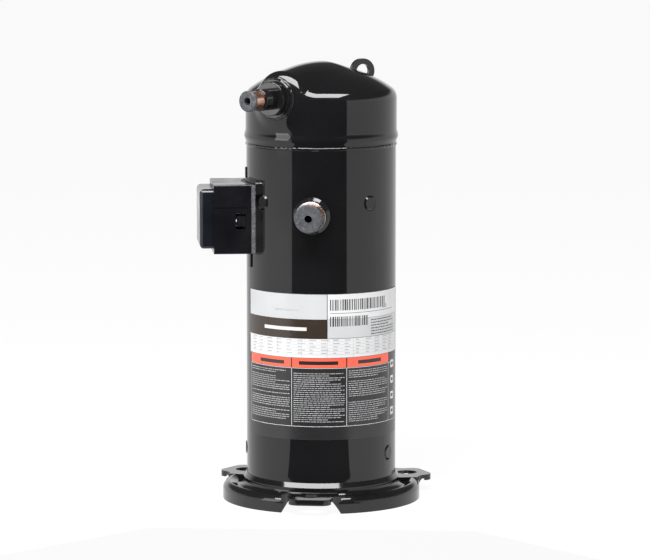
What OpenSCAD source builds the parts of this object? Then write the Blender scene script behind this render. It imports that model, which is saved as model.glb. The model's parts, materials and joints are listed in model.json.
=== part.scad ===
// Hermetic scroll compressor: a welded steel shell on a three-lug foot, with
// the scroll set, crankshaft and motor inside. Millimetres, +Z up.
// Z = 0 is the underside of the foot's lugs, on the axis of the shell.

/* [Shell] */
// Outside diameter of the shell
shell_d = 139.7; // [132:0.1:168]
// Wall thickness of the shell
shell_wall = 3; // [2.5:0.1:3.6]
// Height of the seam between shell and top cap
seam_z = 322; // [315:1:390]
// Diameter of the plug welds that hold the inner frames
weld_d = 14; // [9:0.5:15]
// How far the plug welds stand out of the shell
weld_proud = 0.9; // [0.5:0.1:1.5]
// Bearing of the first of the four upper plug welds
upper_weld_bearing = -55; // [-60:1:-50]
// Bearings of the lower plug welds
lower_weld_bearings = [-32, 14, 100, 175];

/* [Top cap] */
// Step from the shell's side out to the cap's side
cap_step = 0.65; // [0.3:0.05:1.5]
// How far the rolled lip stands out of the shell
lip_proud = 1.95; // [1.5:0.05:3]
// Height of the rolled lip
lip_h = 13; // [9:0.5:16]
// Wall thickness of the cap
cap_wall = 3; // [2.5:0.1:3.4]
// How far the cap's skirt reaches down past the shell's top edge
cap_overlap = 3; // [2:0.5:5]
// Height of the straight side, from the seam to the start of the knuckle
cap_side_h = 41.3; // [38:0.1:52]
// Outside radius of the knuckle
knuckle_r = 12; // [9:0.5:15]
// Outside radius of the crown
crown_r = 113; // [100:1:140]

/* [Discharge fitting] */
// Bearing of the discharge fitting
discharge_bearing = -130; // [-134:1:-126]
// Height of the discharge fitting above the seam
discharge_rise = 45; // [43:0.5:49]
// Radius of the boss pressed out of the cap
boss_r = 25; // [22:0.5:26]
// Rounding of the boss's edge
boss_round = 8; // [5:0.5:9]
// How far the flat of the boss stands out past the cap's side
boss_proud = 1.5; // [0.5:0.5:3]
// Radius of the weld bead round the collar
discharge_bead_r = 20; // [19:0.5:22]
// Radius of the steel collar
discharge_collar_r = 15; // [13.5:0.5:16]
// Length of the steel collar outside the boss
discharge_collar_l = 11; // [9:0.5:15]
// Radius of the neck in front of the collar
discharge_neck_r = 10; // [9.3:0.1:12]
// Length of the neck
discharge_neck_l = 16; // [4:0.5:20]
// Outside radius of the copper stub
discharge_stub_r = 8.5; // [7.5:0.1:8.8]
// Wall of the copper stub
discharge_stub_wall = 1.2; // [0.9:0.1:1.5]
// Bare length of the copper stub
discharge_stub_l = 14.5; // [12:0.5:22]
// Radius of the plug's head
discharge_plug_r = 9.6; // [9:0.1:11]
// Length of the plug's head
discharge_plug_head = 3; // [2:0.5:6]

/* [Suction fitting] */
// Bearing of the suction fitting
suction_bearing = -102; // [-106:0.5:-99]
// Height of the suction fitting below the seam
suction_drop = 62.2; // [60:0.2:64]
// Radius of the weld bead round the collar
suction_bead_r = 17; // [16.5:0.5:19]
// Radius of the steel collar
suction_collar_r = 14.6; // [14:0.1:16]
// How far the collar stands out of the shell
suction_collar_l = 10; // [8:0.5:14]
// Outside radius of the copper stub
suction_stub_r = 12.7; // [11.5:0.1:13]
// Wall of the copper stub
suction_stub_wall = 1.4; // [1:0.1:1.6]
// Bare length of the copper stub
suction_stub_l = 14; // [12:0.5:20]
// Radius of the plug's head
suction_plug_r = 12.9; // [12.7:0.1:14.5]
// Length of the plug's head
suction_plug_head = 3; // [2:0.5:6]

/* [Plugs] */
// Radius of the vent hole through both rubber plugs
plug_hole_r = 3.5; // [2.5:0.25:4.5]
// How deep the plugs go into their stubs
plug_depth = 9; // [6:0.5:12]
// Gap between a plug's spigot and its stub
plug_gap = 0.3; // [0.3:0.05:0.5]

/* [Lifting lug] */
// Bearing of the lifting lug
lift_bearing = 17.5; // [10:0.5:25]
// Distance from the shell's axis to the middle of the lug
lift_r = 41; // [38:0.5:44]
// Height of the middle of the loop above the crown
lift_rise = 0.8; // [0.5:0.1:3]
// Outside radius of the loop
lift_outer_r = 11.6; // [10:0.2:16]
// Radius of the eye
lift_eye_r = 6.4; // [5:0.2:8]
// Thickness of the lug plate
lift_t = 5; // [3:0.5:6]

/* [Foot] */
// Thickness of the foot plate
plate_t = 3; // [2.5:0.1:3.5]
// Height of the foot plate's skirt below the lugs
skirt_drop = 13; // [11:0.5:16]
// Gap from the shell's side to the outside of the skirt
skirt_reach = 22.75; // [21:0.05:30]
// Outside radius of the rolled edge
roll_r = 7; // [6:0.5:8]
// Radius of the fillet between the foot plate and its collar
fillet_r = 6; // [5:0.5:7]
// Depth of the valley below the top of the lugs
valley_drop = 3.5; // [2:0.25:4.5]
// Height of the plate's collar on the shell
collar_h = 6; // [5:0.5:9]
// Distance from the shell's side to the centres of the foot holes
hole_reach = 19.3; // [16:0.05:22]
// Radius of the foot holes
foot_hole_r = 9.525; // [8:0.005:10]
// Half width of the lugs
lug_half_w = 19.5; // [16:0.5:22]
// Radius of the lugs' outer corners
lug_corner_r = 9; // [6:0.5:12]
// Radius of the hollow sweep from the skirt out to each lug
flare_r = 12; // [8:0.5:15]
// Depth of the turned-down edge of the lugs
lug_lip = 2.4; // [1:0.1:4]
// Bearing of the front lug
lug_bearing = -101; // [-110:0.5:-95]
// Half width of the gap in the skirt at the top
gap_half_top = 20; // [18:0.5:24]
// Half width of the gap in the skirt at the floor
gap_half_floor = 28.3; // [25:0.1:32]

/* [Terminal box] */
// Height of the middle of the box below the seam
box_drop = 68.7; // [68:0.1:76]
// Half width of the box
box_half_w = 33; // [31:0.5:37]
// Half height of the box
box_half_h = 32.25; // [30:0.25:36]
// Distance from the shell's side to the front of the box
box_reach = 32.35; // [28:0.05:44]
// Wall of the box and its lid
box_wall = 2.5; // [2:0.1:3]
// How far the lid stands out of the box
lid_proud = 12.8; // [9:0.1:16]
// How far the lid is set in from the box's sides
lid_inset = 4.5; // [4:0.1:6]
// How deep the lid's skirt goes into the box
lid_depth = 5; // [3:0.5:8]
// Rounding of the lid's edges
lid_round = 4.5; // [3:0.5:6]
// Thickness of the fence sheet that is welded to the shell
fence_t = 1.2; // [1:0.1:1.6]
// How far the fence stands out past the box's sides
fence_side_margin = 7; // [3:0.5:8]
// How far the fence stands out past the top of the box
fence_top_margin = 4.2; // [3:0.1:6]
// Rounding of the fence's corners
fence_round = 4.5; // [3:0.5:6]
// Depth of the fence's side flanges behind the shell's furthest side
fence_setback = 5.85; // [5:0.05:7]
// Thickness of the foam gasket at its sides
gasket_t = 3.6; // [3:0.1:4.5]
// Width of the fence's upper and lower tabs
tab_w = 5; // [4:0.5:8]
// Height of the tabs above and below the box
tab_h = 13.5; // [8:0.5:16]
// Distance of the lower tab from the middle of the box
tab_aside = 19; // [0:1:22]
// Thickness of the latch tongues
tongue_t = 1.7; // [1.2:0.1:2]
// Radius of the cable entry
cable_hole_r = 11.1; // [10:0.1:11.5]
// Distance of the cable entry's axis behind the front of the box
cable_setback = 15.5; // [14.5:0.5:16.5]

/* [Terminal] */
// Outside radius of the terminal's steel cup
cup_r = 17; // [16:0.25:18]
// Depth of the cup
cup_depth = 11; // [9:0.5:13]
// Radius of the terminal pins
pin_r = 1.6; // [1.4:0.1:1.9]
// Radius of the glass seals
glass_r = 3.4; // [3:0.1:4]
// Distance of the pins from the terminal's axis
pin_circle_r = 8; // [7.5:0.1:8.5]

/* [Label] */
// Height of the label's lower edge
label_z = 52; // [46:1:54]
// Height of the label
label_h = 136; // [110:1:138]
// Thickness of the label
label_t = 0.3; // [0.2:0.05:0.5]
// Bearings of the label's two ends
label_ends = [-164.5, -16];

/* [Scroll set] */
// Radius of the base circle of the spiral wraps
base_r = 2.7; // [2.65:0.01:2.8]
// Thickness of the wraps
wrap_t = 3.9; // [3.7:0.05:4]
// Height of the wraps
wrap_h = 22; // [18:0.5:25]
// Gap between the flanks of the two wraps
flank_gap = 0.3; // [0.2:0.05:0.4]
// Gap between the tips of the wraps and the plates
tip_gap = 0.2; // [0.1:0.05:0.4]
// Height of the fixed scroll's top face above the seam
fixed_rise = 10; // [9:0.5:11]
// Thickness of the fixed scroll's plate
fixed_plate_t = 13.8; // [12:0.1:15]
// Thickness of the orbiting scroll's plate
orbit_plate_t = 8.7; // [8:0.1:10]
// Gap between the frame bolts and the shell's bore
bolt_inset = 7.5; // [7:0.1:9]
// Radius of the frame posts
post_r = 6; // [5.5:0.1:6.3]
// Radius of the discharge port
port_r = 5; // [4:0.25:6]
// Half width of the Oldham ring's keys
key_half_w = 3.5; // [3:0.25:4]
// Width of the Oldham ring's band
oldham_w = 8; // [7:0.25:9]
// Thickness of the Oldham ring
oldham_t = 5; // [4:0.25:6]

/* [Frame and crankshaft] */
// Thickness of the main frame's flange
flange_t = 18; // [15:0.5:20]
// Radius of the crankshaft's main journal
journal_r = 14.95; // [14.5:0.05:15.5]
// Length of the main bearing
bearing_l = 28; // [22:0.5:32]
// Radius of the crankshaft
shaft_r = 11; // [10:0.25:12]
// Radius of the eccentric pin
pin_ecc_r = 9; // [8:0.25:9.5]
// Wall of the drive bushing
bushing_wall = 3.2; // [2.5:0.1:3.5]
// Wall of the bearing sleeves
sleeve_wall = 2; // [1.5:0.1:2.5]
// Radius of the lower journal
lower_journal_r = 9; // [8:0.25:10]
// Height of the lower end of the crankshaft
shaft_foot_z = 34; // [34:0.5:37]

/* [Motor] */
// Height of the bottom of the stator core
stator_z = 100; // [97:1:105]
// Height of the stator core
stator_h = 90; // [60:1:92]
// Bore radius of the stator
stator_bore_r = 34; // [32:0.25:36]
// Air gap between rotor and stator
air_gap = 0.5; // [0.4:0.05:0.8]
// Number of stator slots
slots = 24; // [18:6:24]
// Height of the windings' end turns
end_turn_h = 28; // [22:1:30]
// Number of bars in the rotor's cage
cage_bars = 28; // [20:1:32]
// Radius of the cage bars
bar_r = 2.2; // [1.6:0.1:2.4]

/* [Fits] */
// Gap at welded and shrunk seats
seat_gap = 0.1; // [0.05:0.05:0.2]
// Radial clearance of the running bearings
running_gap = 0.05; // [0.02:0.01:0.08]
// Clearance beside sliding pieces
slide_gap = 0.3; // [0.25:0.05:0.5]

/* [Hidden] */
$fn = 96;

over = 1;
shell_r = shell_d / 2;
bore_r = shell_r - shell_wall;
shell_foot = 0;
shell_top = seam_z + cap_overlap;

// Top cap
cap_r = shell_r + cap_step;
knuckle_z = seam_z + cap_side_h;
crown_z = knuckle_z - sqrt(pow(crown_r - knuckle_r, 2) - pow(cap_r - knuckle_r, 2));
crown_lean = asin((cap_r - knuckle_r) / (crown_r - knuckle_r));
muffler_rim_t = 2.5;
lift_lean = asin(lift_r / crown_r);
shoulder_z = shell_top + muffler_rim_t;

// Discharge fitting
discharge_z = seam_z + discharge_rise;
boss_face = cap_r + boss_proud;
boss_root = 15;
shoulder_r = discharge_collar_r + 2.5;
discharge_front = boss_face + discharge_collar_l + discharge_neck_l;
discharge_end = discharge_front + discharge_stub_l;

// Suction fitting
suction_z = seam_z - suction_drop;
suction_front = shell_r + suction_collar_l;
suction_end = suction_front + suction_stub_l;
suction_inner = bore_r - 5;

// Foot
lug_r = shell_r + hole_reach;
skirt_r = shell_r + skirt_reach;
foot_bore_r = shell_r + seat_gap;
flare_y = lug_half_w + flare_r;
sweep_bite = 0.4;
flare_x = sqrt(pow(skirt_r + flare_r - sweep_bite, 2) - pow(flare_y, 2));
fillet_c = [foot_bore_r + plate_t + fillet_r, plate_t - valley_drop + fillet_r];
roll_dip = 0.1;
roll_c = [skirt_r - roll_r, plate_t - roll_r - roll_dip];

// Terminal box
box_z = seam_z - box_drop;
box_front = shell_r + box_reach;
fence_r = shell_r + seat_gap + fence_t;
fence_front = shell_r - fence_setback;
gasket_front = fence_front + gasket_t;
gasket_r = fence_r + gasket_t;
fence_half_w = box_half_w + fence_side_margin;
window_half_w = box_half_w - 6;
window_half_h = box_half_h - 6;
mouth_half_w = box_half_w - lid_inset;
mouth_half_h = box_half_h - lid_inset;
lid_front = box_front + lid_proud;
latch_z = -1.8;
latch_half_h = 7.5;
latch_x0 = shell_r + 3;
latch_l = 9;
cup_inner = bore_r - 5;
cup_outer = cup_inner + cup_depth;
pin_inner = cup_inner - 9;
pin_outer = cup_outer + 12;
pin_bearings = [0, 120, 240];

// Scroll set, counted down from the seam
orbit_r = PI * base_r - wrap_t - flank_gap;
fixed_top = seam_z + fixed_rise;
fixed_floor = fixed_top - fixed_plate_t;
orbit_top = fixed_floor - tip_gap - wrap_h;
orbit_z = orbit_top - orbit_plate_t;
bolt_r = bore_r - bolt_inset;
rim_wall = 3.3;
rim_r = bolt_r - post_r - slide_gap - rim_wall;
orbit_plate_r = rim_r - orbit_r - slide_gap;
wrap_limit_r = orbit_plate_r - 0.6;
wrap_half = wrap_t / 2 / base_r;
wrap_start = 2.4;
wrap_end = sqrt(pow(wrap_limit_r / base_r, 2) - 1) - wrap_half;
seal_r = [18, 32];
seal_groove = 5;
ear_top = seam_z - 4;
ear_z = ear_top - 12;
bolt_hole_r = 3.3;
thrust_t = 1.2;
thrust_z = orbit_z - tip_gap / 2 - thrust_t;
oldham_r = orbit_plate_r - 1;
oldham_in = oldham_r - oldham_w;
key_r = oldham_r - 2.5;
key_half_l = 2.5;
thrust_out = oldham_in - orbit_r - slide_gap;
oldham_drop = 6.7;
oldham_z = thrust_z - oldham_drop;
recess_z = oldham_z - slide_gap;
key_depth = 5;
slot_half = key_half_w + orbit_r + slide_gap;

// Frame and crankshaft
flange_z = recess_z - flange_t;
upper_weld_z = flange_z + flange_t / 2;
lower_weld_z = shaft_foot_z;
bushing_r = pin_ecc_r + running_gap + bushing_wall;
drive_bore_r = bushing_r + running_gap;
hub_bore_r = drive_bore_r + sleeve_wall;
hub_r = hub_bore_r + 3.5;
hub_l = 22;
hub_z = orbit_z - hub_l;
pocket_r = hub_r + orbit_r + 0.5;
pocket_z = hub_z - 3;
journal_top = pocket_z - 2;
bearing_top = journal_top - 4;
bearing_z = bearing_top - bearing_l;
bearing_r = journal_r + running_gap;
frame_hub_r = bearing_r + sleeve_wall + 7;
frame_hub_z = bearing_z - 2;
scoop_r = 20;
scoop_centre = bore_r + 6;
scoop_bearings = [0, 90, 180, suction_bearing];

// Motor
rotor_r = stator_bore_r - air_gap;
rotor_z = stator_z - 2;
rotor_h = stator_h + 4;
end_ring_h = 7;
stator_r = bore_r - seat_gap;
slot_r = [stator_bore_r + 4, stator_r - 13];
winding_r = [stator_bore_r + 3.5, stator_r - 5];
weight_r = rotor_r - 0.8;
weight_h = 16;
winding_top = stator_z + stator_h + end_turn_h;

// Lower bearing
bracket_z = lower_weld_z - 4;
bracket_t = 8;
washer_t = 2;
hub_foot_z = shaft_foot_z - washer_t - 4;
lower_bore_r = lower_journal_r + running_gap;
lower_hub_r = lower_bore_r + sleeve_wall + 6;
lower_hub_top = shaft_foot_z + 24;
pickup_r = 4.5;

// Bottom cap
bottom_r = bore_r - seat_gap;
bottom_t = 3;
bottom_bend_r = 8;
bottom_bend_z = 13.7;
dish_r = 150;
dish_lean = asin((bottom_r - bottom_bend_r) / (dish_r - bottom_bend_r));
dish_z = bottom_bend_z + (dish_r - bottom_bend_r) * cos(dish_lean);
magnet_r = 8;

// Muffler plate
muffler_wall = 2.5;
muffler_r = bore_r - 0.8;
muffler_top = fixed_top + 9;
muffler_t = 3;
valve_gap = 0.1;
disc_t = 1.2;
disc_r = 11;
disc_lift = 4;

black = [0.03, 0.03, 0.035];
steel = [0.62, 0.63, 0.65];
iron = [0.42, 0.43, 0.45];
copper = [0.76, 0.46, 0.33];
rubber = [0.36, 0.37, 0.39];

// Points along an arc, from angle a0 to a1
function arc(c, r, a0, a1, n = 8) =
    [for (i = [0:n]) c + r * [cos(a0 + (a1 - a0) * i / n), sin(a0 + (a1 - a0) * i / n)]];

// A point on an involute of the base circle; roll is in radians
function involute(roll, shift) =
    let (a = roll * 180 / PI)
    base_r * [cos(a) + (roll + shift) * sin(a), sin(a) - (roll + shift) * cos(a)];

module ring(r_out, r_in, h) {
    difference() {
        cylinder(r = r_out, h = h);
        translate([0, 0, -over]) cylinder(r = r_in, h = h + 2 * over);
    }
}

// Children drawn along +Z point away from the shell's axis at this bearing and height
module outward(bearing, z) {
    rotate([0, 0, bearing]) translate([0, 0, z]) rotate([0, 90, 0]) children();
}

module rounded_square(w, h, r) {
    square([w - 2 * r, h], center = true);
    square([w, h - 2 * r], center = true);
    for (x = [-1, 1], y = [-1, 1]) {
        translate([x * (w / 2 - r), y * (h / 2 - r)]) circle(r = r, $fn = 32);
    }
}

// ---- Shell ----

module shell_body() {
    color(black) difference() {
        translate([0, 0, shell_foot]) ring(shell_r, bore_r, shell_top - shell_foot);
        outward(suction_bearing, suction_z) cylinder(r = suction_collar_r + seat_gap, h = shell_d);
        outward(180, box_z) cylinder(r = cup_r + seat_gap, h = shell_d);
        weld_places() cylinder(r = weld_d / 2 + seat_gap, h = shell_d, $fn = 32);
    }
}

module weld_places() {
    for (i = [0:3]) outward(upper_weld_bearing + 90 * i, upper_weld_z) children();
    for (b = lower_weld_bearings) outward(b, lower_weld_z) children();
}

module plug_welds() {
    color(black) weld_places() {
        translate([0, 0, bore_r]) cylinder(r = weld_d / 2, h = shell_wall - 0.4, $fn = 32);
        translate([0, 0, shell_r - 0.4]) {
            cylinder(r1 = weld_d / 2, r2 = weld_d / 2 - 1.6, h = weld_proud + 0.4, $fn = 32);
        }
    }
}

// Half outline of the cap's dome and side, drawn smaller all round by inset
module cap_outline(inset) {
    side_r = cap_r - inset;
    foot_z = seam_z + lip_h;
    polygon(concat(
        [[0, foot_z], [side_r, foot_z]],
        arc([cap_r - knuckle_r, knuckle_z], knuckle_r - inset, 0, 90 - crown_lean, 8),
        arc([0, crown_z], crown_r - inset, 90 - crown_lean, 90, 12)
    ));
}

// The cap's lip, rolled out over the shell's top edge, with its weld below
module cap_lip_outline() {
    polygon([
        [0, seam_z - 2],
        [shell_r + seat_gap, seam_z - 2],
        [shell_r + lip_proud * 0.5, seam_z + lip_h * 0.05],
        [shell_r + lip_proud * 0.85, seam_z + lip_h * 0.25],
        [shell_r + lip_proud, seam_z + lip_h * 0.5],
        [shell_r + lip_proud * 0.85, seam_z + lip_h * 0.75],
        [cap_r, seam_z + lip_h],
        [0, seam_z + lip_h],
    ]);
}

// The pressed boss, drawn smaller all round by inset
module boss_solid(inset) {
    face = boss_face - inset;
    r = boss_r - inset;
    round_r = boss_round - inset;
    outward(discharge_bearing, discharge_z) rotate_extrude() polygon(concat(
        [[0, boss_root], [r, boss_root]],
        arc([r - round_r, face - round_r], round_r, 0, 90),
        [[0, face]]
    ));
}

module top_cap() {
    color(black) difference() {
        union() {
            rotate_extrude() {
                cap_outline(0);
                cap_lip_outline();
            }
            boss_solid(0);
        }
        rotate_extrude() cap_outline(cap_wall);
        boss_solid(cap_wall);
        translate([0, 0, seam_z - lip_h]) cylinder(r = shell_r + seat_gap, h = shoulder_z - seam_z + lip_h);
        translate([0, 0, seam_z]) cylinder(r = cap_r - cap_wall, h = lip_h + over);
        outward(discharge_bearing, discharge_z) {
            cylinder(r = discharge_neck_r + seat_gap, h = shell_d);
        }
    }
}

// Points along the dish of the bottom cap at radius r, from lean angle a0 to a1
function dish(r, a0, a1, n = 10) =
    [for (i = [0:n]) let (a = a0 + (a1 - a0) * i / n) [r * sin(a), dish_z - r * cos(a)]];

module bottom_cap() {
    bend_c = [bottom_r - bottom_bend_r, bottom_bend_z];
    color(black) rotate_extrude() polygon(concat(
        [[bottom_r, bracket_z - 2]],
        arc(bend_c, bottom_bend_r, 0, dish_lean - 89),
        dish(dish_r, dish_lean, 0),
        dish(dish_r - bottom_t, 0, dish_lean),
        arc(bend_c, bottom_bend_r - bottom_t, dish_lean - 89, 0),
        [[bottom_r - bottom_t, bracket_z - 2]]
    ));
}

// ---- Foot ----

module foot_section() {
    collar_top = fillet_c[1] + collar_h;
    polygon(concat(
        [[foot_bore_r, collar_top], [foot_bore_r + 0.4, collar_top]],
        [[foot_bore_r + plate_t, collar_top - collar_h * 0.7]],
        arc(fillet_c, fillet_r, 180, 270),
        arc(roll_c, roll_r, 90, 0, 10),
        [[skirt_r, -skirt_drop], [skirt_r - plate_t, -skirt_drop]],
        arc(roll_c, roll_r - plate_t, 0, 90, 10),
        arc(fillet_c, fillet_r + plate_t, 270, 180)
    ));
}

module lug_places() {
    for (i = [0:2]) rotate([0, 0, lug_bearing + 120 * i]) children();
}

// Outline of a lug along +X, drawn smaller at its end and sides by inset
module lug_outline(inset) {
    half_w = lug_half_w - inset;
    corner = lug_half_w - lug_corner_r;
    translate([0, -half_w]) square([flare_x, 2 * half_w]);
    translate([flare_x - over, -corner]) square([lug_corner_r - inset + over, 2 * corner]);
    for (s = [-1, 1]) translate([flare_x, s * corner]) circle(r = lug_corner_r - inset);
}

// The corner between a lug and the skirt, which a hollow sweep rounds out
module sweep_corner() {
    polygon([[0, 0], [flare_x, 0], [flare_x, flare_y]]);
}

module sweep_plate() {
    difference() {
        sweep_corner();
        translate([flare_x, flare_y]) circle(r = flare_r);
    }
}

module sweep_wall() {
    difference() {
        intersection() {
            sweep_corner();
            translate([flare_x, flare_y]) circle(r = flare_r + plate_t);
        }
        translate([flare_x, flare_y]) circle(r = flare_r);
    }
}

module lug() {
    linear_extrude(plate_t) difference() {
        union() {
            lug_outline(0);
            sweep_plate();
            mirror([0, 1]) sweep_plate();
        }
        circle(r = foot_bore_r + plate_t / 2);
    }
    translate([0, 0, -lug_lip]) linear_extrude(lug_lip + over) difference() {
        lug_outline(0);
        lug_outline(plate_t);
        translate([0, -shell_r]) square([flare_x, 2 * shell_r]);
    }
    difference() {
        translate([0, 0, 0.3 - skirt_drop]) linear_extrude(skirt_drop + over) {
            sweep_wall();
            mirror([0, 1]) sweep_wall();
        }
        skirt_gap();
    }
}

module skirt_gap() {
    reach = roll_r + flare_r;
    rotate([90, 0, 90]) translate([0, 0, skirt_r - roll_r - 3]) linear_extrude(reach) polygon([
        [-gap_half_floor, -skirt_drop - over],
        [gap_half_floor, -skirt_drop - over],
        [gap_half_top, -0.5],
        [-gap_half_top, -0.5],
    ]);
}

module foot_plate() {
    color(black) difference() {
        union() {
            difference() {
                rotate_extrude() foot_section();
                lug_places() skirt_gap();
            }
            lug_places() lug();
        }
        lug_places() translate([lug_r, 0, -skirt_drop]) {
            cylinder(r = foot_hole_r, h = skirt_drop + 2 * plate_t);
        }
    }
}

// A loop that stands square to the crown
module lifting_lug() {
    color(black) difference() {
        rotate([0, 0, lift_bearing]) translate([0, 0, crown_z]) rotate([0, lift_lean, 0]) {
            translate([0, lift_t / 2, crown_r + lift_rise]) rotate([90, 0, 0]) linear_extrude(lift_t) {
                lift_loop();
            }
        }
        translate([0, 0, crown_z]) sphere(r = crown_r + seat_gap, $fn = 240);
    }
}

module lift_loop() {
    leg_l = lift_rise + 4;
    difference() {
        union() {
            circle(r = lift_outer_r);
            translate([-lift_outer_r, -leg_l]) square([2 * lift_outer_r, leg_l]);
        }
        circle(r = lift_eye_r);
        translate([-lift_eye_r, -lift_outer_r - over]) square([2 * lift_eye_r, lift_outer_r + over]);
    }
}

// ---- Fittings ----

module suction_collar() {
    color(steel) difference() {
        outward(suction_bearing, suction_z) difference() {
            union() {
                translate([0, 0, bore_r - 2]) cylinder(r = suction_collar_r, h = suction_front - bore_r + 2);
                translate([0, 0, shell_r - 5]) cylinder(r = suction_bead_r, h = 5.5);
                translate([0, 0, shell_r + 0.5]) {
                    cylinder(r1 = suction_bead_r, r2 = suction_collar_r - 0.1, h = 2.5);
                }
            }
            translate([0, 0, bore_r - 3]) cylinder(r = stub_spigot_r(suction_stub_r) + seat_gap, h = shell_d);
        }
        difference() {
            translate([0, 0, suction_z - 2 * suction_bead_r]) {
                cylinder(r = shell_r + seat_gap, h = 4 * suction_bead_r);
            }
            outward(suction_bearing, suction_z) cylinder(r = suction_collar_r, h = shell_d);
        }
    }
}

// A stub is turned down a little where it sits in its collar
function stub_spigot_r(r) = r - 0.4;

module stub(r, wall, inner, front, end) {
    difference() {
        union() {
            translate([0, 0, inner]) cylinder(r = stub_spigot_r(r), h = front - inner + 0.5);
            translate([0, 0, front]) cylinder(r = r, h = end - front);
        }
        translate([0, 0, inner - over]) cylinder(r = r - wall, h = end - inner + 2 * over);
    }
}

module plug(head_r, head_l, bore, end) {
    spigot_r = bore - plug_gap;
    difference() {
        union() {
            translate([0, 0, end - plug_depth]) {
                cylinder(r1 = spigot_r - 0.8, r2 = spigot_r, h = 2);
            }
            translate([0, 0, end - plug_depth + 2]) cylinder(r = spigot_r, h = plug_depth - 1);
            translate([0, 0, end]) cylinder(r = head_r, h = head_l - 0.8);
            translate([0, 0, end + head_l - 0.8]) cylinder(r1 = head_r, r2 = head_r - 0.8, h = 0.8);
        }
        translate([0, 0, end - plug_depth - over]) {
            cylinder(r = plug_hole_r, h = plug_depth + head_l + 2 * over, $fn = 48);
        }
    }
}

module suction_stub() {
    color(copper) outward(suction_bearing, suction_z) {
        stub(suction_stub_r, suction_stub_wall, suction_inner, suction_front, suction_end);
    }
}

module suction_plug() {
    color(rubber) outward(suction_bearing, suction_z) {
        plug(suction_plug_r, suction_plug_head, suction_stub_r - suction_stub_wall, suction_end);
    }
}

// A cup strainer pushed into the inner end of the suction stub
module suction_screen() {
    r = suction_stub_r - suction_stub_wall - seat_gap;
    color(steel) outward(suction_bearing, suction_z) translate([0, 0, suction_inner]) difference() {
        cylinder(r = r, h = 9);
        translate([0, 0, 0.8]) cylinder(r = r - 0.8, h = 9);
        for (x = [-2:2], y = [-2:2]) {
            if (x * x + y * y < 6) translate([x * 3.4, y * 3.4, -over]) cylinder(r = 1.1, h = 3, $fn = 16);
        }
    }
}

module discharge_collar() {
    spigot = stub_spigot_r(discharge_stub_r) + seat_gap;
    color(black) outward(discharge_bearing, discharge_z) difference() {
        union() {
            translate([0, 0, boss_face - 6]) cylinder(r = discharge_neck_r, h = 7);
            translate([0, 0, boss_face]) cylinder(r1 = discharge_bead_r, r2 = shoulder_r - 0.5, h = 3);
            translate([0, 0, boss_face]) cylinder(r = shoulder_r, h = 5);
            translate([0, 0, boss_face]) cylinder(r = discharge_collar_r, h = discharge_collar_l);
            translate([0, 0, boss_face + discharge_collar_l]) {
                cylinder(r = discharge_neck_r, h = discharge_neck_l);
            }
        }
        translate([0, 0, boss_face - 7]) cylinder(r = spigot, h = shell_d);
    }
}

module discharge_stub() {
    color(copper) outward(discharge_bearing, discharge_z) {
        stub(discharge_stub_r, discharge_stub_wall, boss_face - 8, discharge_front, discharge_end);
    }
}

module discharge_plug() {
    bore = discharge_stub_r - discharge_stub_wall;
    color(rubber) outward(discharge_bearing, discharge_z) {
        plug(discharge_plug_r, discharge_plug_head, bore, discharge_end);
    }
}

module nameplate_label() {
    color([0.85, 0.85, 0.86]) translate([0, 0, label_z]) rotate([0, 0, label_ends[0]]) {
        rotate_extrude(angle = label_ends[1] - label_ends[0], $fn = 240) {
            translate([shell_r + 0.05, 0]) square([label_t, label_h]);
        }
    }
}

// ---- Terminal box ----

// A block on the shell's -X side, from x0 to x1 out from the axis
module side_block(x0, x1, half_w, half_h) {
    translate([-x1, -half_w, box_z - half_h]) cube([x1 - x0, 2 * half_w, 2 * half_h]);
}

// Everything behind a curved sheet of radius r whose sides end flat at front
module behind_sheet(r, front) {
    translate([0, 0, box_z - shell_r]) cylinder(r = r, h = shell_d, $fn = 180);
    side_block(-over, front, shell_r, shell_r);
}

module terminal_fence() {
    low = box_z - box_half_h;
    high = box_z + box_half_h;
    root = sqrt(pow(shell_r, 2) - pow(fence_half_w, 2)) - 3;
    color(black) difference() {
        union() {
            intersection() {
                behind_sheet(fence_r, fence_front);
                translate([-root, 0, 0]) rotate([90, 0, -90]) linear_extrude(shell_d) fence_outline();
            }
            intersection() {
                behind_sheet(fence_r, fence_front);
                union() {
                    translate([-shell_d, -tab_w / 2, high]) cube([shell_d, tab_w, tab_h]);
                    translate([-shell_d, -tab_aside - tab_w / 2, low - tab_h]) {
                        cube([shell_d, tab_w, tab_h + over]);
                    }
                }
            }
            for (s = [0, 1]) mirror([0, s, 0]) latch_tongue();
        }
        translate([0, 0, -over]) cylinder(r = shell_r + seat_gap, h = seam_z, $fn = 180);
        side_block(shell_r / 2, shell_d, window_half_w, window_half_h);
        outward(upper_weld_bearing - 90, upper_weld_z) cylinder(r = weld_d / 2 + 0.8, h = shell_d);
    }
}

module fence_outline() {
    low = box_z - box_half_h;
    h = 2 * box_half_h + fence_top_margin;
    translate([0, low + h / 2]) rounded_square(2 * fence_half_w, h, fence_round);
}

// A springy tongue on the fence that hooks into the window in the box's side
module latch_tongue() {
    inner = box_half_w - box_wall - slide_gap - tongue_t;
    hook_x = latch_x0 + latch_l - 4.5;
    translate([-hook_x - 3.5, inner, box_z + latch_z - 5]) {
        cube([hook_x + 3.5 - fence_front + 1, tongue_t, 10]);
    }
    translate([-hook_x - 3.5, inner, box_z + latch_z - 5]) cube([3.5, tongue_t + slide_gap + 1.4, 10]);
}

module terminal_gasket() {
    color([0.33, 0.33, 0.34]) difference() {
        intersection() {
            behind_sheet(gasket_r, gasket_front);
            side_block(fence_front - 8, shell_d, box_half_w - 0.6, box_half_h - 0.6);
        }
        behind_sheet(fence_r, fence_front);
        side_block(shell_r / 2, shell_d, window_half_w, window_half_h);
        latch_slots();
    }
}

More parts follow.
